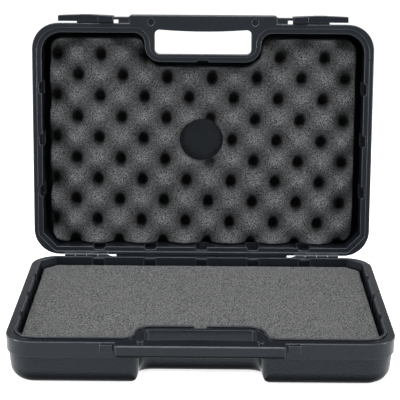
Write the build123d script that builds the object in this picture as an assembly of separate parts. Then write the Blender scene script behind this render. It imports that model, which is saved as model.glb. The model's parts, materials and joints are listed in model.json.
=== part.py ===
from build123d import *
from math import cos, radians, sin
import os

# A moulded instrument case, open: two shells on steel hinge pins, two sliding latches and two foams.
# The origin is the middle of the base's underside, +X to the right, -Y to the handle, +Z up.

# Closed case
case_width = 341.8
case_depth = 235.2
shell_height = 42.5
corner_radius = 26.0
parting_gap = 0.2
panel_thickness = 3.0

# Rim band, the thick belt round each shell
band_height = 14.5
band_proud = 2.0
band_draft = 2.0
rim_width = 9.1
front_rim_width = 9.3
rear_rim_width = 7.7
rim_edge_break = 0.5

# Shell walls below the band
body_draft = 5.0
body_edge_radius = 15.0
cavity_draft = 1.5
cavity_floor_radius = 6.0
inner_front_radius = 20.0
inner_rear_chamfer = 14.0

# Handle recess in the front wall
recess_depth = 31.0
recess_half_width = 51.4
recess_flare = 0.05
recess_corner_radius = 10.0
recess_mouth_radius = 8.0
recess_edge_radius = 13.5
recess_side_wall = 5.8
recess_back_wall = 7.2
recess_inner_radius = 11.0

# Handle bar and its finger opening
handle_length = 148.6
handle_reach = 8.5
handle_height = 11.5
handle_edge_radius = 3.5
handle_edge_break = 1.0
opening_width = 96.7
opening_back = 30.6
opening_front = 5.8
opening_bulge = 2.1
opening_radius = 4.8

# Rim lip, groove and rebate that locate the shells on each other
lip_width = 2.0
lip_height = 1.4
groove_width = 1.2
groove_depth = 1.0
rebate_width = 4.6
rebate_depth = 1.8
peg_radius = 3.0
peg_height = 2.4
peg_spacing = 103.8
peg_clearance = 0.35

# Slots for loose dividers, cut in the inner wall
slot_pitch = 52.4
slot_mouth = 12.7
slot_floor = 9.4
slot_depth = 2.8
slot_end = 16.5
side_slots = 3
rear_slots = 5

# Hinges
open_angle = 96.2
hinge_offset = 1.1
knuckle_radius = 3.2
knuckle_clearance = 0.45
hinge_inset = 31.3
knuckle_widths = (10.5, 10.9, 10.9, 10.0)
knuckle_gap = 0.5
web_reach = 12.0
gusset_length = 7.0
pin_radius = 1.25
pin_press = 0.02
pin_running = 0.06
pin_end_gap = 0.4
stop_gap = 8.5
stop_length = 7.0
stop_thickness = 4.0
stop_clearance = 0.1

# Latches: a rail on the lid, a slider that runs on it and a catch on the base
rail_length = 54.0
rail_slot = 3.5
rail_thickness = 2.6
rail_base = 1.0
rail_height = 11.0
rail_root = 10.2
rail_web_start = 15.2
rail_web_end = 52.0
slider_length = 55.0
slider_end_gap = 0.7
slider_travel = 14.5
slider_clearance = 0.2
slider_wall = 1.0
slider_bulge = 0.9
back_lip_thickness = 1.5
back_lip_slit = 3.5
hook_length = 14.8
catch_inset = 1.5
catch_width = 10.9
catch_reach = 5.0
catch_top = 0.4
catch_height = 7.0
grip_rib_count = 5
grip_rib_pitch = 2.6
grip_rib_width = 1.1
grip_rib_height = 0.35

# Round boss inside the lid, with its recess outside
boss_radius = 19.0
boss_height = 2.0
boss_recess = 1.5

# Foams
foam_clearance = 0.3
base_foam_gap = 3.4
base_foam_drop = 5.5
foam_floor_radius = 4.0
foam_tongue_clearance = 0.4
lid_foam_side_gap = 6.8
lid_foam_front_gap = 6.4
lid_foam_rear_gap = 1.6
lid_foam_drop = 12.0
lid_foam_gap = 1.2
lid_foam_radius = 12.0
lid_foam_corner = 9.5
lid_foam_notch_gap = 6.1
lid_foam_notch_radius = 7.0
foam_hole_radius = 21.2
crate_pitch = 45.4
crate_row = 20.95
crate_turn = 0.8
crate_depth = 15.0
crate_mouth_radius = 13.5
crate_floor_radius = 3.5
crate_shift_x = -14.9
crate_shift_y = -0.5

# Places worked out from the sizes above
front_face = -case_depth / 2
rear_face = case_depth / 2
axis_y = rear_face + hinge_offset
axis_z = shell_height + parting_gap / 2
bar_back = front_face + opening_front
bar_front = front_face - handle_reach
handle_end = handle_length / 2
hinge_end = case_width / 2 - hinge_inset
catch_inner = handle_end + catch_inset
foam_floor = panel_thickness + foam_clearance
slot_length = shell_height - slot_end


def spaced(count, pitch):
    return [(i - (count - 1) / 2) * pitch for i in range(count)]


def block(x_range, y_range, z_range):
    """A box between two corners."""
    size = [b - a for a, b in (x_range, y_range, z_range)]
    middle = [(a + b) / 2 for a, b in (x_range, y_range, z_range)]
    return Pos(*middle) * Box(*size)


def prism_along_x(points, x_range):
    """A profile in Y and Z, given the length from one X to the other."""
    profile = Plane.YZ * make_face(Polyline(*points, close=True))
    return Pos(x_range[0], 0, 0) * extrude(profile, x_range[1] - x_range[0])


def both_sides(solid):
    return solid + mirror(solid, about=Plane.YZ)


def wedge_plan(half_width, back_y, front_y):
    """The handle recess in plan, flaring from its back wall to the front."""
    front_half = half_width + (back_y - front_y) * recess_flare
    corners = [(-half_width, back_y), (half_width, back_y), (front_half, front_y), (-front_half, front_y)]
    return make_face(Polyline(*corners, close=True))


def soften_corners(plan, y, radius):
    """Round the two corners that the recess makes in a plan at one y."""
    corners = [v for v in plan.vertices() if abs(v.Y - y) < 0.01 and abs(v.X) < handle_end]
    return fillet(corners, radius)


# The shells are drawn with the rim at z = 0 and their depth towards +Z.

def wall_block():
    """The drafted body beyond the band, rounded at the outer panel and notched for the handle."""
    height = shell_height - band_height
    plan = RectangleRounded(case_width - 2 * band_proud, case_depth - 2 * band_proud, corner_radius - band_proud)
    body = extrude(plan, height, taper=body_draft)
    body = fillet(body.faces().sort_by(Axis.Z)[-1].edges(), body_edge_radius)
    body_front = front_face + band_proud
    recess_back = front_face + recess_depth
    around = Pos(0, body_front + case_depth) * Rectangle(2 * case_width, 2 * case_depth)
    around -= wedge_plan(recess_half_width, recess_back, body_front - case_depth)
    around = soften_corners(around, recess_back, recess_corner_radius)
    notched = extrude(around, height, taper=body_draft)
    far_edges = notched.faces().sort_by(Axis.Z)[-1].edges()
    inside = [e for e in far_edges if abs(e.center().X) < handle_end and e.length < 2 * handle_length]
    mouth = extrude(soften_corners(around, body_front, recess_mouth_radius), height, taper=body_draft)
    return Pos(0, 0, band_height) * (body & fillet(inside, recess_edge_radius) & mouth)


def handle_bar():
    """The half handle that bridges the recess, standing proud of the band."""
    bar_root = front_face + front_rim_width / 2
    bar = block((-handle_end, handle_end), (bar_front, bar_root), (0, handle_height))
    front_edges = bar.faces().sort_by(Axis.Y)[0].edges()
    bar = fillet(front_edges.filter_by(Axis.Z), handle_edge_radius)
    lower = bar.faces().sort_by(Axis.Y)[0].edges().sort_by(Axis.Z)[-1]
    bar = fillet(lower, handle_edge_radius)
    upper = bar.faces().sort_by(Axis.Y)[0].edges().sort_by(Axis.Z)[0]
    return chamfer(upper, handle_edge_break)


def opening_cutter():
    """The finger opening, with the handle's swelling grip on its front side."""
    half = opening_width / 2
    back_y = front_face + opening_back
    sides = Polyline((-half, bar_back), (-half, back_y), (half, back_y), (half, bar_back))
    grip = ThreePointArc((half, bar_back), (0, bar_back + opening_bulge), (-half, bar_back))
    plan = fillet(make_face([sides, grip]).vertices(), opening_radius)
    return Pos(0, 0, -1) * extrude(plan, band_height + 2)


def cavity_plan(grow=0.0):
    """The inner line of the rim, grown outwards by an amount."""
    half = case_width / 2 - rim_width
    front = front_face + front_rim_width
    back = rear_face - rear_rim_width
    plan = Pos(0, (front + back) / 2) * Rectangle(2 * half, back - front)
    plan = fillet(plan.vertices().group_by(Axis.Y)[0], inner_front_radius)
    plan = chamfer(plan.vertices().group_by(Axis.Y)[-1], inner_rear_chamfer)
    recess_back = front_face + recess_depth + recess_back_wall
    plan -= wedge_plan(recess_half_width + recess_side_wall, recess_back, front - inner_front_radius)
    plan = soften_corners(plan, recess_back, recess_corner_radius + recess_side_wall)
    plan = soften_corners(plan, front, recess_inner_radius)
    if grow:
        plan = offset(plan, grow, kind=Kind.ARC)
    return plan


def cavity_block():
    inside = extrude(cavity_plan(), shell_height - panel_thickness, taper=cavity_draft)
    return fillet(inside.faces().sort_by(Axis.Z)[-1].edges(), cavity_floor_radius)


def slot_cutter():
    """One divider slot, its mouth on the Y axis and its floor towards +X."""
    overlap = slot_depth
    plan = make_face(Polyline(
        (-overlap, -slot_mouth / 2), (0, -slot_mouth / 2), (slot_depth, -slot_floor / 2),
        (slot_depth, slot_floor / 2), (0, slot_mouth / 2), (-overlap, slot_mouth / 2), close=True,
    ))
    return Pos(0, 0, -slot_depth) * extrude(plan, slot_length + slot_depth)


def divider_slots():
    """Every divider slot: on both sides, along the back and one behind the handle."""
    slot = slot_cutter()
    side_x = case_width / 2 - rim_width
    places = [Pos(side_x, y) * slot for y in spaced(side_slots, slot_pitch)]
    places += [Pos(-side_x, y) * Rot(0, 0, 180) * slot for y in spaced(side_slots, slot_pitch)]
    rear_y = rear_face - rear_rim_width
    places += [Pos(x, rear_y) * Rot(0, 0, 90) * slot for x in spaced(rear_slots, slot_pitch)]
    recess_y = front_face + recess_depth + recess_back_wall
    places.append(Pos(0, recess_y) * Rot(0, 0, -90) * slot)
    return places


def shell_blank():
    """What both shells share."""
    band = extrude(RectangleRounded(case_width, case_depth, corner_radius), band_height, taper=band_draft)
    band = chamfer(band.faces().sort_by(Axis.Z)[0].edges(), rim_edge_break)
    shell = band + wall_block() + handle_bar()
    recess_back = front_face + recess_depth
    relief = wedge_plan(recess_half_width, recess_back, bar_front - handle_reach)
    shell -= Pos(0, 0, handle_height) * extrude(relief, band_height - handle_height)
    shell -= opening_cutter()
    shell -= cavity_block()
    for slot in divider_slots():
        shell -= slot
    return shell


def knuckle_spans():
    """The X range of each knuckle of the left hinge, from the outer end inwards."""
    spans = []
    x = -hinge_end
    for width in knuckle_widths:
        spans.append((x, x + width))
        x += width + knuckle_gap
    return spans


def hinge_rod(radius, x_range):
    rod = Plane.YZ * Circle(radius)
    return Pos(x_range[0], axis_y, -parting_gap / 2) * extrude(rod, x_range[1] - x_range[0])


def knuckle(x_range):
    """A hinge knuckle with the web that carries it from the band."""
    web = prism_along_x(
        [
            (rear_face - rear_rim_width / 2, parting_gap),
            (axis_y, parting_gap / 2),
            (axis_y + knuckle_radius, 0),
            (axis_y + knuckle_radius, knuckle_radius),
            (rear_face - band_proud, web_reach),
        ],
        x_range,
    )
    return web + hinge_rod(knuckle_radius, x_range)


def gusset():
    """The tapering rib that stiffens the base's inner knuckle."""
    inner = knuckle_spans()[-1][1]
    root = rear_face - rear_rim_width / 2
    plan = Polyline((inner, axis_y + knuckle_radius), (inner, root), (inner + gusset_length, root), close=True)
    return extrude(make_face(plan), knuckle_radius)


def hinge_side(shell, own, other, bore_clearance):
    """Add a shell's own knuckles on both sides and clear room for the other shell's."""
    spans = knuckle_spans()
    bore = hinge_rod(pin_radius + bore_clearance, (spans[0][0] - 1, spans[-1][1] + 1))
    for i in other:
        room = (spans[i][0] - knuckle_clearance, spans[i][1] + knuckle_clearance)
        shell -= both_sides(hinge_rod(knuckle_radius + knuckle_clearance, room))
    for i in own:
        shell += both_sides(knuckle(spans[i]) - bore)
    return shell


def stop_flange():
    """The flange behind the band whose sloping face stops the lid when it is open."""
    slope = radians(open_angle / 2)
    off_y, off_z = -sin(slope) * stop_clearance, cos(slope) * stop_clearance

    def on_face(distance):
        return (axis_y + cos(slope) * distance + off_y, -parting_gap / 2 + sin(slope) * distance + off_z)
    stop_end = -knuckle_spans()[-1][1] - stop_gap
    start = on_face(2 * parting_gap)
    tip = on_face(stop_length)
    return prism_along_x(
        [
            (rear_face - rear_rim_width / 2, 0),
            start,
            tip,
            (tip[0], tip[1] + stop_thickness / 2),
            (rear_face - band_proud / 2, tip[1] + 2 * stop_thickness),
            (rear_face - rear_rim_width / 2, tip[1] + 2 * stop_thickness),
        ],
        (-stop_end, stop_end),
    )


def rim_ring(inner_grow, outer_grow, height):
    ring = cavity_plan(outer_grow) - cavity_plan(inner_grow)
    return extrude(ring, height)


def peg_places():
    peg_y = (bar_back + bar_front) / 2
    return [Pos(x, peg_y) for x in (-peg_spacing / 2, peg_spacing / 2)]


def lid_rail():
    """The flange on the lid's front that the slider runs on, held by its root and by a thin web."""
    back = front_face - rail_slot
    front = back - rail_thickness
    behind = front_face + band_proud
    top = rail_base + rail_height
    middle = (rail_base + top) / 2
    web_half = back_lip_slit / 2 - slider_clearance
    into_bar = -handle_end + handle_edge_radius
    plate = block((-handle_end - rail_length, into_bar), (front, back), (rail_base, top))
    root = block((-handle_end - rail_root, into_bar), (back, behind), (rail_base, top))
    web_span = (-handle_end - rail_web_end, -handle_end - rail_web_start)
    web = block(web_span, (back, behind), (middle - web_half, middle + web_half))
    return plate + root + web


def base_catch():
    """The tooth on the base's front that the slider's hook passes under."""
    return block(
        (-catch_inner - catch_width, -catch_inner),
        (front_face - catch_reach, front_face + band_proud),
        (catch_top, catch_top + catch_height),
    )


def base_shell():
    shell = shell_blank() + stop_flange()
    shell = hinge_side(shell, (1, 3), (0, 2), pin_press)
    shell += both_sides(gusset())
    shell -= rim_ring(lip_width, lip_width + groove_width, groove_depth)
    lip = Pos(0, 0, -lip_height) * rim_ring(0, lip_width, lip_height + groove_depth)
    for slot in divider_slots():
        lip -= slot
    shell += lip
    shell += both_sides(base_catch())
    peg = Pos(0, 0, -peg_height) * extrude(Circle(peg_radius), peg_height + groove_depth)
    for place in peg_places():
        shell += place * peg
    return Pos(0, 0, shell_height) * mirror(shell, about=Plane.XY)


def lid_shell_closed():
    shell = shell_blank() + stop_flange()
    shell = hinge_side(shell, (0, 2), (1, 3), pin_running)
    shell -= rim_ring(-rim_edge_break, rebate_width, rebate_depth)
    shell += both_sides(lid_rail())
    socket = extrude(Circle(peg_radius + peg_clearance), peg_height + 2 * peg_clearance)
    for place in peg_places():
        shell -= place * socket
    shell += Pos(0, 0, shell_height - panel_thickness - boss_height) * extrude(
        Circle(boss_radius), boss_height + panel_thickness / 2
    )
    shell -= Pos(0, 0, shell_height - boss_recess) * extrude(Circle(boss_radius - 1), boss_recess)
    return Pos(0, 0, shell_height + parting_gap) * shell


def hinge_pin(side):
    spans = knuckle_spans()
    x_range = (spans[0][0] + pin_end_gap, spans[-1][1] - pin_end_gap)
    pin = Pos(0, 0, shell_height + parting_gap) * hinge_rod(pin_radius, x_range)
    return pin if side < 0 else mirror(pin, about=Plane.YZ)


def latch_slider_closed():
    """The left slider on its rail, in the unlatched place, with the case closed."""
    inner = -handle_end - slider_end_gap - slider_travel
    outer = inner - slider_length
    hook_start = inner - hook_length
    rail_back = front_face - rail_slot
    rail_front = rail_back - rail_thickness
    wall_back = rail_front - slider_clearance
    wall_front = wall_back - slider_wall
    lip_back = rail_back + slider_clearance + back_lip_thickness
    top = rail_base + rail_height + slider_clearance + slider_wall
    foot = rail_base - slider_clearance - slider_wall
    hook_foot = -(parting_gap + catch_top + catch_height + slider_clearance + slider_wall)
    hook_back = front_face - catch_reach / 2
    lip_end = -handle_end - rail_root - slider_clearance - slider_travel
    lip_height = (top - foot - back_lip_slit) / 2
    middle_x = (outer + inner) / 2
    face = make_face([
        Polyline((inner, wall_front), (inner, wall_back), (outer, wall_back), (outer, wall_front)),
        ThreePointArc((outer, wall_front), (middle_x, wall_front - slider_bulge), (inner, wall_front)),
    ])
    slider = Pos(0, 0, foot) * extrude(face, top - foot)
    hook_face = face & Pos((hook_start + inner) / 2, wall_front) * Rectangle(hook_length, 20)
    slider += Pos(0, 0, hook_foot) * extrude(hook_face, foot - hook_foot)
    slider += block((outer, inner), (wall_back, rail_back), (top - slider_wall, top))
    slider += block((outer, lip_end), (wall_back, lip_back), (top - slider_wall, top))
    slider += block((outer, hook_start), (wall_back, lip_back), (foot, foot + slider_wall))
    slider += block((outer, lip_end), (lip_back - back_lip_thickness, lip_back), (top - lip_height, top))
    slider += block((outer, hook_start), (lip_back - back_lip_thickness, lip_back), (foot, foot + lip_height))
    slider += block((hook_start, inner), (wall_back, hook_back), (hook_foot, hook_foot + slider_wall))
    for x in spaced(grip_rib_count, grip_rib_pitch):
        rib = block(
            (middle_x + x - grip_rib_width / 2, middle_x + x + grip_rib_width / 2),
            (wall_front - slider_bulge - grip_rib_height, wall_back - slider_wall / 2),
            (foot, top),
        )
        slider += rib
    return Pos(0, 0, shell_height + parting_gap) * slider


def foam_tongue():
    """The bulge of the base foam in the divider slot behind the handle."""
    mouth_half = slot_mouth / 2 - foam_tongue_clearance
    floor_half = slot_floor / 2 - foam_tongue_clearance
    tip = slot_depth - foam_tongue_clearance
    root = -2 * base_foam_gap
    plan = make_face(Polyline(
        (root, -mouth_half), (0, -mouth_half), (tip, -floor_half),
        (tip, floor_half), (0, mouth_half), (root, mouth_half), close=True,
    ))
    foot = slot_end + foam_tongue_clearance
    top = shell_height - base_foam_drop
    wall_y = front_face + recess_depth + recess_back_wall
    return Pos(0, wall_y, foot) * Rot(0, 0, -90) * extrude(plan, top - foot)


def base_foam():
    plan = cavity_plan(-base_foam_gap)
    height = shell_height - foam_floor - base_foam_drop
    foam = extrude(plan, height)
    foam = chamfer(foam.faces().sort_by(Axis.Z)[0].edges(), foam_floor_radius)
    return Pos(0, 0, foam_floor) * foam + foam_tongue()


def lid_foam_closed():
    """The egg-crate sheet: a slab that follows the lid, with a staggered field of hollows."""
    half = case_width / 2 - rim_width - lid_foam_side_gap
    rear = rear_face - rear_rim_width - lid_foam_rear_gap
    front = front_face + front_rim_width + lid_foam_front_gap
    slab = Pos(0, (front + rear) / 2) * Rectangle(2 * half, rear - front)
    slab = fillet(slab.vertices().group_by(Axis.Y)[0], lid_foam_radius)
    slab = chamfer(slab.vertices().group_by(Axis.Y)[-1], lid_foam_corner)
    notch_half = recess_half_width + recess_side_wall + lid_foam_gap
    notch_back = front_face + recess_depth + recess_back_wall + lid_foam_notch_gap
    slab -= wedge_plan(notch_half, notch_back, front_face)
    slab = soften_corners(slab, notch_back, recess_corner_radius + recess_side_wall)
    slab = soften_corners(slab, front, lid_foam_notch_radius)
    thickness = shell_height - foam_floor - lid_foam_drop
    foam = extrude(slab, thickness)
    foam = chamfer(foam.faces().sort_by(Axis.Z)[-1].edges(), foam_floor_radius)
    foam = Pos(0, 0, lid_foam_drop) * foam
    foam -= extrude(Circle(foam_hole_radius), shell_height)
    hollow = Pos(0, 0, lid_foam_drop + crate_depth / 2) * Cone(crate_mouth_radius, crate_floor_radius, crate_depth)
    turn = radians(crate_turn)
    hollows = []
    rows = int(case_depth / crate_row / 2) + 1
    columns = int(case_width / crate_pitch / 2) + 1
    for row in range(-rows, rows + 1):
        for column in range(-columns, columns + 1):
            along, across = (column + 0.5 * (row % 2)) * crate_pitch, row * crate_row
            x = crate_shift_x + cos(turn) * along - sin(turn) * across
            y = crate_shift_y + sin(turn) * along + cos(turn) * across
            if abs(x) < half and front < y < rear:
                hollows.append(Pos(x, y) * hollow)
    foam -= hollows
    return Pos(0, 0, shell_height + parting_gap) * foam


def opened(solid):
    """Turn a piece of the closed lid about the hinge to the open rest position."""
    return Pos(0, axis_y, axis_z) * Rot(-open_angle, 0, 0) * Pos(0, -axis_y, -axis_z) * solid


def pieces():
    left_slider = latch_slider_closed()
    return {
        "base_shell": base_shell(),
        "base_foam": base_foam(),
        "lid_shell": opened(lid_shell_closed()),
        "lid_foam": opened(lid_foam_closed()),
        "hinge_pin_left": hinge_pin(-1),
        "hinge_pin_right": hinge_pin(1),
        "latch_slider_left": opened(left_slider),
        "latch_slider_right": opened(mirror(left_slider, about=Plane.YZ)),
    }


os.makedirs("parts", exist_ok=True)
for node, solid in pieces().items():
    export_step(solid, os.path.join("parts", node + ".step"))
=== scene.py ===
# Looks of an open moulded instrument case: black shells, latch sliders, hinge pins and two foams.
# Everything is in metres in the frame's axes: X to the right, Y to the back, Z up.
import json
import math

import bpy
from mathutils import Matrix, Vector, noise


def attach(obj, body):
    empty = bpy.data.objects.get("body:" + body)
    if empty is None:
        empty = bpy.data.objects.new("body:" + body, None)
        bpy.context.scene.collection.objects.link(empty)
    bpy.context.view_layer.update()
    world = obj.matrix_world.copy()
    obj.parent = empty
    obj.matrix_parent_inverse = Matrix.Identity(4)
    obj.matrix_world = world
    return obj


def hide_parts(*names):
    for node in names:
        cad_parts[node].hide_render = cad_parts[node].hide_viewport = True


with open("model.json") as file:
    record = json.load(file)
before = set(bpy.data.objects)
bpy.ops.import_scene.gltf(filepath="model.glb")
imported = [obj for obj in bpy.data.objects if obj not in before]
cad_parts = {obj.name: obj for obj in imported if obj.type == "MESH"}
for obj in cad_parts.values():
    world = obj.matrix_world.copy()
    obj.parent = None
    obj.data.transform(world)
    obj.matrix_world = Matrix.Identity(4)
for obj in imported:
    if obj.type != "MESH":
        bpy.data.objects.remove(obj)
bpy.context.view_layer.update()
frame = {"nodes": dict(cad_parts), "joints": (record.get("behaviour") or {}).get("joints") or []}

nodes = frame["nodes"]
print("frame loaded:", ", ".join(sorted(nodes)))

# The lid is drawn closed and then turned about the hinge to where it rests, open
hinge = next(joint for joint in frame["joints"] if joint["name"] == "lid_hinge")
hingePoint = Vector(hinge["pos_m"])
openAngle = math.radians(hinge["range_deg"][1])
turnOpen = Matrix.Rotation(-openAngle, 4, "X")
openLid = Matrix.Translation(hingePoint) @ turnOpen @ Matrix.Translation(-hingePoint)
closeLid = openLid.inverted()
partingHeight = hingePoint.z


def closedBox(node):
    # The box of one of the lid's nodes with the case closed
    corners = [closeLid @ vertex.co for vertex in nodes[node].data.vertices]
    low = Vector([min(corner[axis] for corner in corners) for axis in range(3)])
    high = Vector([max(corner[axis] for corner in corners) for axis in range(3)])
    return low, high


# Selecting and shaping

def activate(piece):
    bpy.ops.object.select_all(action="DESELECT")
    piece.select_set(True)
    bpy.context.view_layer.objects.active = piece


def clearSelection(piece, kind):
    activate(piece)
    bpy.ops.object.mode_set(mode="EDIT")
    bpy.ops.mesh.select_mode(type=kind)
    bpy.ops.mesh.select_all(action="DESELECT")
    bpy.ops.object.mode_set(mode="OBJECT")


def bevelEdges(piece, wanted, radius, segments):
    # wanted gets the two ends of an edge
    clearSelection(piece, "EDGE")
    points = piece.data.vertices
    for edge in piece.data.edges:
        edge.select = wanted(points[edge.vertices[0]].co, points[edge.vertices[1]].co)
    bpy.ops.object.mode_set(mode="EDIT")
    bpy.ops.mesh.bevel(offset=radius, segments=segments)
    bpy.ops.object.mode_set(mode="OBJECT")


def stretchFaces(piece, wanted, factors):
    # wanted gets a face's normal
    clearSelection(piece, "FACE")
    for face in piece.data.polygons:
        face.select = wanted(face.normal)
    bpy.ops.object.mode_set(mode="EDIT")
    bpy.ops.transform.resize(value=factors)
    bpy.ops.object.mode_set(mode="OBJECT")


def applyModifier(piece, kind, **settings):
    activate(piece)
    modifier = piece.modifiers.new(kind.lower(), kind)
    for name, value in settings.items():
        setattr(modifier, name, value)
    bpy.ops.object.modifier_apply(modifier=modifier.name)


def addBlock(name, low, high):
    bpy.ops.object.select_all(action="DESELECT")
    bpy.ops.mesh.primitive_cube_add(size=1, location=(low + high) / 2)
    piece = bpy.context.object
    piece.name = name
    piece.scale = high - low
    bpy.ops.object.transform_apply(location=True, rotation=True, scale=True)
    return piece


def cutWith(piece, cutter):
    applyModifier(piece, "BOOLEAN", operation="DIFFERENCE", solver="EXACT", object=cutter)
    bpy.data.objects.remove(cutter)


# Building materials, where an owner is a material or the world

def opaque(colour):
    return (*colour, 1.0)


def isOutput(value):
    return isinstance(value, bpy.types.NodeSocket)


def setInputs(owner, node, inputs):
    # Each input gets another node's output or a constant
    for name, value in inputs.items():
        if isOutput(value):
            owner.node_tree.links.new(value, node.inputs[name])
        else:
            node.inputs[name].default_value = value


def addNode(owner, kind, inputs=None, **settings):
    made = owner.node_tree.nodes.new(kind)
    for name, value in settings.items():
        setattr(made, name, value)
    setInputs(owner, made, inputs or {})
    return made


def newMaterial(name):
    material = bpy.data.materials.new(name)
    material.use_nodes = True
    return material, material.node_tree.nodes["Principled BSDF"]


def objectPlace(material, matrix=None):
    # Object coordinates, for a piece of the lid turned back to where they are with the case closed
    place = addNode(material, "ShaderNodeTexCoord").outputs["Object"]
    if matrix is not None:
        turn = {
            "Vector": place,
            "Location": matrix.to_translation(),
            "Rotation": matrix.to_euler(),
        }
        place = addNode(material, "ShaderNodeMapping", turn).outputs["Vector"]
    return place


def noiseAt(material, place, scale, detail=2.0):
    inputs = {"Vector": place, "Scale": scale, "Detail": detail}
    return addNode(material, "ShaderNodeTexNoise", inputs).outputs["Fac"]


def mapRange(owner, value, low, high, fromLow=0.0, fromHigh=1.0):
    inputs = {
        "Value": value,
        "From Min": fromLow,
        "From Max": fromHigh,
        "To Min": low,
        "To Max": high,
    }
    return addNode(owner, "ShaderNodeMapRange", inputs).outputs["Result"]


def mixColours(owner, factor, first, second, blend="MIX"):
    inputs = {
        "Factor": factor,
        "A": first if isOutput(first) else opaque(first),
        "B": second if isOutput(second) else opaque(second),
    }
    mix = addNode(owner, "ShaderNodeMix", inputs, data_type="RGBA", blend_type=blend)
    return mix.outputs["Result"]


def coat(node, material):
    for slot in nodes[node].material_slots:
        slot.material = material


# Moulded plastic of the shells
shellLook = {
    "dark": (0.0032, 0.0042, 0.0066),
    "light": (0.0055, 0.0068, 0.0098),
    "cloudScale": 22.0,
    "cloudDetail": 4.0,
    "grainCell": 0.0012,
    "grainDepth": 0.0003,
    "bandGrain": 0.12,
    "bodyGrain": 0.85,
    "bandHeight": 0.0145,
    "bandFade": 0.001,
    "fineCell": 0.0003,
    "fineShare": 0.25,
    "fineStrength": 0.5,
    "roughest": 0.32,
    "smoothest": 0.25,
    "rubScale": 90.0,
    "rubDetail": 6.0,
    "edgeRadius": 0.0010,
    "wearHighlightReach": 0.0007,
    "wearHighlightFull": 0.6,
    "wearHighlightAmount": 0.9,
    # Lighter colour for the edges, partly wear and partly a painted highlight
    "wornHighlightColour": (0.075, 0.080, 0.089),
    "specular": 0.50,
    "reflectionTint": (0.82, 0.91, 1.0),
}
sliderChanges = {"grainDepth": 0.00004, "wearHighlightReach": 0.00035, "specular": 0.33}


def wornAndHighlitEdges(material, look):
    # 0 on faces, and more at outer edges: partly wear, and partly a painted highlight that
    #                                      lightens the edges as if they caught the light
    inside = addNode(
        material, "ShaderNodeAmbientOcclusion", {"Distance": look["wearHighlightReach"]},
        inside=True, only_local=True, samples=8,
    ).outputs["AO"]
    return mapRange(material, inside, 0.0, look["wearHighlightAmount"], 1.0, look["wearHighlightFull"])


def grainStrength(material, look, place):
    # The belt by the rim is smooth and the walls beyond it are grained
    height = addNode(material, "ShaderNodeSeparateXYZ", {"Vector": place}).outputs["Z"]
    off = addNode(
        material, "ShaderNodeMath", {0: height, 1: partingHeight}, operation="SUBTRACT"
    ).outputs["Value"]
    away = addNode(material, "ShaderNodeMath", {0: off}, operation="ABSOLUTE").outputs["Value"]
    return mapRange(
        material, away, look["bandGrain"], look["bodyGrain"],
        look["bandHeight"], look["bandHeight"] + look["bandFade"],
    )


def mouldedPlastic(name, look, matrix=None):
    material, shader = newMaterial(name)
    place = objectPlace(material, matrix)
    cloud = noiseAt(material, place, look["cloudScale"], look["cloudDetail"])
    plain = mixColours(material, cloud, look["dark"], look["light"])
    # The edges are lightened, partly as wear and partly as a painted highlight
    colour = mixColours(material, wornAndHighlitEdges(material, look), plain, look["wornHighlightColour"])
    rub = noiseAt(material, place, look["rubScale"], look["rubDetail"])
    grain = addNode(
        material, "ShaderNodeTexVoronoi",
        {"Vector": place, "Scale": 1 / look["grainCell"]}, feature="SMOOTH_F1",
    ).outputs["Distance"]
    rounded = addNode(material, "ShaderNodeBevel", {"Radius": look["edgeRadius"]}, samples=4)
    coarse = addNode(material, "ShaderNodeBump", {
        "Height": grain,
        "Normal": rounded.outputs["Normal"],
        "Distance": look["grainDepth"],
        "Strength": grainStrength(material, look, place),
    })
    skin = addNode(material, "ShaderNodeBump", {
        "Height": noiseAt(material, place, 1 / look["fineCell"]),
        "Normal": coarse.outputs["Normal"],
        "Distance": look["grainDepth"] * look["fineShare"],
        "Strength": look["fineStrength"],
    })
    setInputs(material, shader, {
        "Base Color": colour,
        "Roughness": mapRange(material, rub, look["smoothest"], look["roughest"]),
        "Normal": skin.outputs["Normal"],
        "Specular IOR Level": look["specular"],
        "Specular Tint": opaque(look["reflectionTint"]),
    })
    return material


coat("base_shell", mouldedPlastic("shellPlasticBase", shellLook))
coat("lid_shell", mouldedPlastic("shellPlasticLid", shellLook, closeLid))
sliderPlastic = mouldedPlastic("sliderPlastic", {**shellLook, **sliderChanges}, closeLid)
for side in ("left", "right"):
    coat("latch_slider_" + side, sliderPlastic)
print("plastic finished")

# Steel of the hinge pins
steelLook = {
    "colour": (0.56, 0.56, 0.57),
    "lineScale": (4000.0, 60.0, 60.0),
    "smoothest": 0.22,
    "roughest": 0.42,
}


def drawnSteel(look):
    material, shader = newMaterial("pinSteel")
    stretched = addNode(
        material, "ShaderNodeMapping",
        {"Vector": objectPlace(material), "Scale": look["lineScale"]},
    ).outputs["Vector"]
    lines = noiseAt(material, stretched, 1.0)
    setInputs(material, shader, {
        "Base Color": opaque(look["colour"]),
        "Metallic": 1.0,
        "Roughness": mapRange(material, lines, look["smoothest"], look["roughest"]),
    })
    return material


pinSteel = drawnSteel(steelLook)
for side in ("left", "right"):
    coat("hinge_pin_" + side, pinSteel)
print("steel finished")

# Foam of both pads, where speckleScale counts speckles to a cell
foamLook = {
    "cell": 0.0011,
    "cellDepth": 0.0007,
    "cellStrength": 0.8,
    "speckleScale": 0.95,
    "speckleDetail": 1.5,
    "speckleLow": 0.30,
    "speckleHigh": 0.72,
    "dark": (0.004, 0.0041, 0.0042),
    "light": (0.180, 0.182, 0.184),
    # Tints for painted shade on the crate foam: the hills keep their colour and the pits are
    # darkened
    "hillTone": (0.98, 1.0, 1.04),
    "pitShadeTone": (0.17, 0.17, 0.165),
    "roughness": 0.95,
    "specular": 0.1,
}


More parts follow.
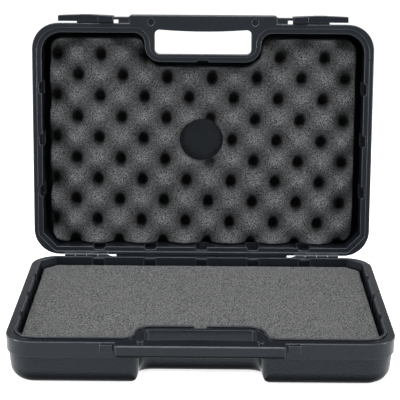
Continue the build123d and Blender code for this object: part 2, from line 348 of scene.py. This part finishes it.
def openCellFoam(name, look, matrix=None, shadeAttribute=None):
    material, shader = newMaterial(name)
    place = objectPlace(material, matrix)
    speckle = noiseAt(material, place, look["speckleScale"] / look["cell"], look["speckleDetail"])
    sharper = mapRange(material, speckle, 0.0, 1.0, look["speckleLow"], look["speckleHigh"])
    colour = mixColours(material, sharper, look["dark"], look["light"])
    # Painted shade: the colour darkens down the waves and most in the pits, where the hollow
    # attribute is high
    if shadeAttribute:
        depth = addNode(material, "ShaderNodeAttribute", attribute_name=shadeAttribute)
        paintedShade = mixColours(material, depth.outputs["Fac"], look["hillTone"], look["pitShadeTone"])
        colour = mixColours(material, 1.0, colour, paintedShade, blend="MULTIPLY")
    cells = addNode(
        material, "ShaderNodeTexVoronoi", {"Vector": place, "Scale": 1 / look["cell"]}
    ).outputs["Distance"]
    skin = addNode(
        material, "ShaderNodeBump",
        {"Height": cells, "Distance": look["cellDepth"], "Strength": look["cellStrength"]},
        invert=True,
    )
    setInputs(material, shader, {
        "Base Color": colour,
        "Normal": skin.outputs["Normal"],
        "Roughness": look["roughness"],
        "Specular IOR Level": look["specular"],
    })
    return material


# Flat foam in the base
flatFoamPlan = {
    "mergeReach": 0.00001,
    "voxel": 0.0018,
    "unevenness": 0.00025,
    "unevenPitch": 0.035,
}


def makeFlatFoam(plan):
    piece = bpy.data.objects.new("flatFoam", nodes["base_foam"].data.copy())
    bpy.context.scene.collection.objects.link(piece)
    activate(piece)
    bpy.ops.object.mode_set(mode="EDIT")
    bpy.ops.mesh.select_all(action="SELECT")
    bpy.ops.mesh.remove_doubles(threshold=plan["mergeReach"])
    bpy.ops.object.mode_set(mode="OBJECT")
    applyModifier(piece, "REMESH", mode="VOXEL", voxel_size=plan["voxel"], use_smooth_shade=True)
    for vertex in piece.data.vertices:
        wave = noise.noise(vertex.co / plan["unevenPitch"])
        vertex.co.z -= plan["unevenness"] * (1 + wave)
    return piece


flatFoam = makeFlatFoam(flatFoamPlan)
flatFoam.data.materials.clear()
flatFoam.data.materials.append(openCellFoam("flatFoamSkin", foamLook))
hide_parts("base_foam")
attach(flatFoam, "base")
print("flat foam:", len(flatFoam.data.polygons), "faces")

# Egg-crate foam in the lid: a sheet with rounded corners, a notch for the handle recess, a round
# hole, and rows of hollows, each a broad wave with a pit at its bottom
crateFoamPlan = {
    "frontRadius": 0.012,
    "rearRadius": 0.0165,
    "cornerSegments": 8,
    "notchHalfWidth": 0.0584,
    "notchBack": -0.0733,
    "notchFlare": 0.05,
    "notchBackRadius": 0.016,
    "notchFrontRadius": 0.007,
    "notchSegments": 6,
    "holeRadius": 0.0225,
    "holePlace": (-0.0012, 0.0022),
    "holeSides": 96,
    "cutMargin": 0.01,
    "voxel": 0.0015,
    "pitch": 0.0454,
    "rowStep": 0.0214,
    "rowLean": 0.012,
    "shiftX": -0.0149,
    "shiftY": 0.0019,
    "patternTurn": 0.8,
    "firstRow": -0.098,
    "hollowDepth": 0.022,
    "waveShare": 0.5,
    "waveSharpness": 1.1,
    "pitHalfWidth": 0.0053,
    "pitHalfHeight": 0.0070,
    "waveShade": 0.75,
    "waveShadeCurve": 0.6,
    "edgeWave": 0.0018,
    "edgeReach": 0.015,
    "edgeRest": 0.2,
    "unevenness": 0.0004,
    "unevenScale": 60.0,
}


def isUpright(a, b):
    return (a.xy - b.xy).length < abs(a.z - b.z)


def cutCrateOutline(plan, low, high):
    # The uncarved sheet, with the front at low y
    piece = addBlock("crateFoam", low, high)
    bevelEdges(
        piece, lambda a, b: isUpright(a, b) and a.y < 0,
        plan["frontRadius"], plan["cornerSegments"],
    )
    bevelEdges(
        piece, lambda a, b: isUpright(a, b) and a.y > 0,
        plan["rearRadius"], plan["cornerSegments"],
    )
    margin = plan["cutMargin"]
    notchLow = Vector((-plan["notchHalfWidth"], low.y - margin, low.z - margin))
    notchHigh = Vector((plan["notchHalfWidth"], plan["notchBack"], high.z + margin))
    notch = addBlock("notch", notchLow, notchHigh)
    flare = 1 + plan["notchFlare"] * (notchHigh.y - notchLow.y) / plan["notchHalfWidth"]
    stretchFaces(notch, lambda normal: normal.y < -0.9, (flare, 1, 1))
    cutWith(piece, notch)
    notchCorners = (
        (plan["notchBack"], plan["notchBackRadius"]),
        (low.y, plan["notchFrontRadius"]),
    )
    for y, radius in notchCorners:
        bevelEdges(
            piece,
            lambda a, b: isUpright(a, b) and abs(a.y - y) < 0.0001 and abs(a.x) < high.x / 2,
            radius, plan["notchSegments"],
        )
    bpy.ops.object.select_all(action="DESELECT")
    bpy.ops.mesh.primitive_cylinder_add(
        vertices=plan["holeSides"], radius=plan["holeRadius"], depth=high.z - low.z + 2 * margin,
        location=(*plan["holePlace"], (low.z + high.z) / 2),
    )
    cutWith(piece, bpy.context.object)
    return piece


def crateHeight(x, y, plan):
    # How low the broad wave is and how deep the pit at its bottom, both from 0 to 1
    turn = math.radians(plan["patternTurn"])
    dx, dy = x - plan["shiftX"], y - plan["shiftY"]
    dx += dy * plan["rowLean"]
    along = (dx * math.cos(turn) + dy * math.sin(turn)) / plan["pitch"]
    across = (dy * math.cos(turn) - dx * math.sin(turn)) / plan["rowStep"]
    wave = 0.5 + 0.5 * math.cos(2 * math.pi * along) * math.cos(math.pi * across)
    pit = 0.0
    for row in (math.floor(across), math.floor(across) + 1):
        if row * plan["rowStep"] < plan["firstRow"]:
            continue
        shifted = along - 0.5 * (row % 2)
        toSide = (shifted - round(shifted)) * plan["pitch"] / plan["pitHalfWidth"]
        upOrDown = (across - row) * plan["rowStep"] / plan["pitHalfHeight"]
        pit += math.exp(-((toSide ** 2 + upOrDown ** 2) ** 2))
    return wave ** plan["waveSharpness"], min(pit, 1.0)


def makeCrateFoam(plan):
    low, high = closedBox("lid_foam")
    piece = cutCrateOutline(plan, low, high)
    applyModifier(piece, "REMESH", mode="VOXEL", voxel_size=plan["voxel"], use_smooth_shade=True)
    # The hollow attribute holds painted shade, 0 on the hills and up to 1 at the bottom of the
    # pits
    hollow = piece.data.attributes.new("hollow", "FLOAT", "POINT")
    thickness = high.z - low.z
    for index, vertex in enumerate(piece.data.vertices):
        wave, pit = crateHeight(vertex.co.x, vertex.co.y, plan)
        share = (high.z - vertex.co.z) / thickness
        drop = plan["hollowDepth"] * (plan["waveShare"] * wave + (1 - plan["waveShare"]) * pit)
        drop += plan["unevenness"] * (1 + noise.noise(vertex.co * plan["unevenScale"]))
        vertex.co.z += share * drop
        # Painted shade grows with the wave's depth and is full in the pits
        waveShade = plan["waveShade"] * wave ** plan["waveShadeCurve"]
        hollow.data[index].value = share * max(pit, waveShade)
        # The side edges draw in with the waves
        nearSide = max(0.0, 1 - (high.x - abs(vertex.co.x)) / plan["edgeReach"])
        inward = plan["edgeWave"] * nearSide * share * abs(wave - plan["edgeRest"])
        vertex.co.x -= math.copysign(inward, vertex.co.x)
    piece.data.transform(openLid)
    return piece


crateFoam = makeCrateFoam(crateFoamPlan)
crateFoam.data.materials.clear()
crateFoam.data.materials.append(openCellFoam("crateFoamSkin", foamLook, closeLid, "hollow"))
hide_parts("lid_foam")
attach(crateFoam, "lid")
print("crate foam:", len(crateFoam.data.polygons), "faces")

# Studio: pale floor, soft light and the camera. The sky lists light by height, from -1 straight
# down to 1 straight up: the pale ground, a darker room, its bright upper part and the ceiling
studio = {
    "floorSize": 12.0,
    "floorColour": (0.9, 0.9, 0.9),
    "floorRoughness": 0.9,
    "floorGlow": 0.8,
    "sky": (
        (-1.0, 0.05), (-0.7, 0.28), (-0.38, 0.95), (-0.17, 0.04), (0.0, 0.16),
        (0.12, 0.55), (0.22, 0.35), (0.32, 0.06), (1.0, 0.10),
    ),
    "skyPower": 2.0,
    "overhead": {"place": (0.0, 0.08, 0.75), "size": (1.2, 0.2), "power": 6.0},
    "front": {"place": (0.0, -0.75, 1.55), "size": (2.0, 0.4), "power": 22.0},
    "left": {"place": (-1.3, -0.45, 0.27), "size": (0.25, 0.5), "power": 14.0},
    "right": {"place": (1.3, -0.45, 0.27), "size": (0.25, 0.5), "power": 14.0},
    "target": (0.0, 0.0, 0.12),
    "cameraPlace": (0.00304, -1.23201, 0.49377),
    "cameraYaw": -0.211,
    "cameraPitch": 16.157,
    "cameraRoll": 0.372,
    "cameraLens": 125.07,
}


def addSoftbox(name, light, target):
    bpy.ops.object.select_all(action="DESELECT")
    bpy.ops.object.light_add(type="AREA", location=light["place"])
    box = bpy.context.object
    box.name = name
    box.data.shape = "RECTANGLE"
    box.data.size, box.data.size_y = light["size"]
    box.data.energy = light["power"]
    box.rotation_euler = (Vector(target) - box.location).to_track_quat("-Z", "Y").to_euler()


def makeSky(look):
    world = bpy.data.worlds.new("softWorld")
    world.use_nodes = True
    direction = addNode(world, "ShaderNodeTexCoord").outputs["Generated"]
    height = addNode(world, "ShaderNodeSeparateXYZ", {"Vector": direction}).outputs["Z"]
    place = mapRange(world, height, 0.0, 1.0, fromLow=-1.0)
    ramp = addNode(world, "ShaderNodeValToRGB", {"Fac": place})
    # A new ramp has two stops
    stops = ramp.color_ramp.elements
    for index, (level, light) in enumerate(look["sky"]):
        position = (level + 1) / 2
        stop = stops[index] if index < 2 else stops.new(position)
        stop.position = position
        stop.color = opaque((light, light, light))
    # Seen directly, the room is as white as the ground
    seen = addNode(world, "ShaderNodeLightPath").outputs["Is Camera Ray"]
    lit = mixColours(world, seen, ramp.outputs["Color"], (1, 1, 1))
    background = world.node_tree.nodes["Background"]
    setInputs(world, background, {"Color": lit, "Strength": look["skyPower"]})
    bpy.context.scene.world = world


def makeFloor(look):
    bpy.ops.object.select_all(action="DESELECT")
    bpy.ops.mesh.primitive_plane_add(size=look["floorSize"])
    floor = bpy.context.object
    floor.name = "floor"
    material, shader = newMaterial("paleFloor")
    setInputs(material, shader, {
        "Base Color": opaque(look["floorColour"]),
        "Roughness": look["floorRoughness"],
        "Emission Color": opaque((1, 1, 1)),
        "Emission Strength": look["floorGlow"],
    })
    floor.data.materials.append(material)
    # The photo's ground is blown out but throws little light back on the case
    floor.visible_diffuse = False
    floor.visible_glossy = False


def makeCamera(look):
    camera = bpy.data.cameras.new("camera")
    camera.lens = look["cameraLens"]
    holder = bpy.data.objects.new("camera", camera)
    bpy.context.scene.collection.objects.link(holder)
    turn = Matrix.Rotation(math.radians(-look["cameraYaw"]), 4, "Z")
    turn = turn @ Matrix.Rotation(math.radians(90 - look["cameraPitch"]), 4, "X")
    turn = turn @ Matrix.Rotation(math.radians(look["cameraRoll"]), 4, "Z")
    holder.matrix_world = Matrix.Translation(look["cameraPlace"]) @ turn
    bpy.context.scene.camera = holder


makeFloor(studio)
makeSky(studio)
bpy.context.scene.view_settings.view_transform = "Standard"
for lightName in ("overhead", "front", "left", "right"):
    addSoftbox(lightName, studio[lightName], studio["target"])
makeCamera(studio)
print("studio ready")
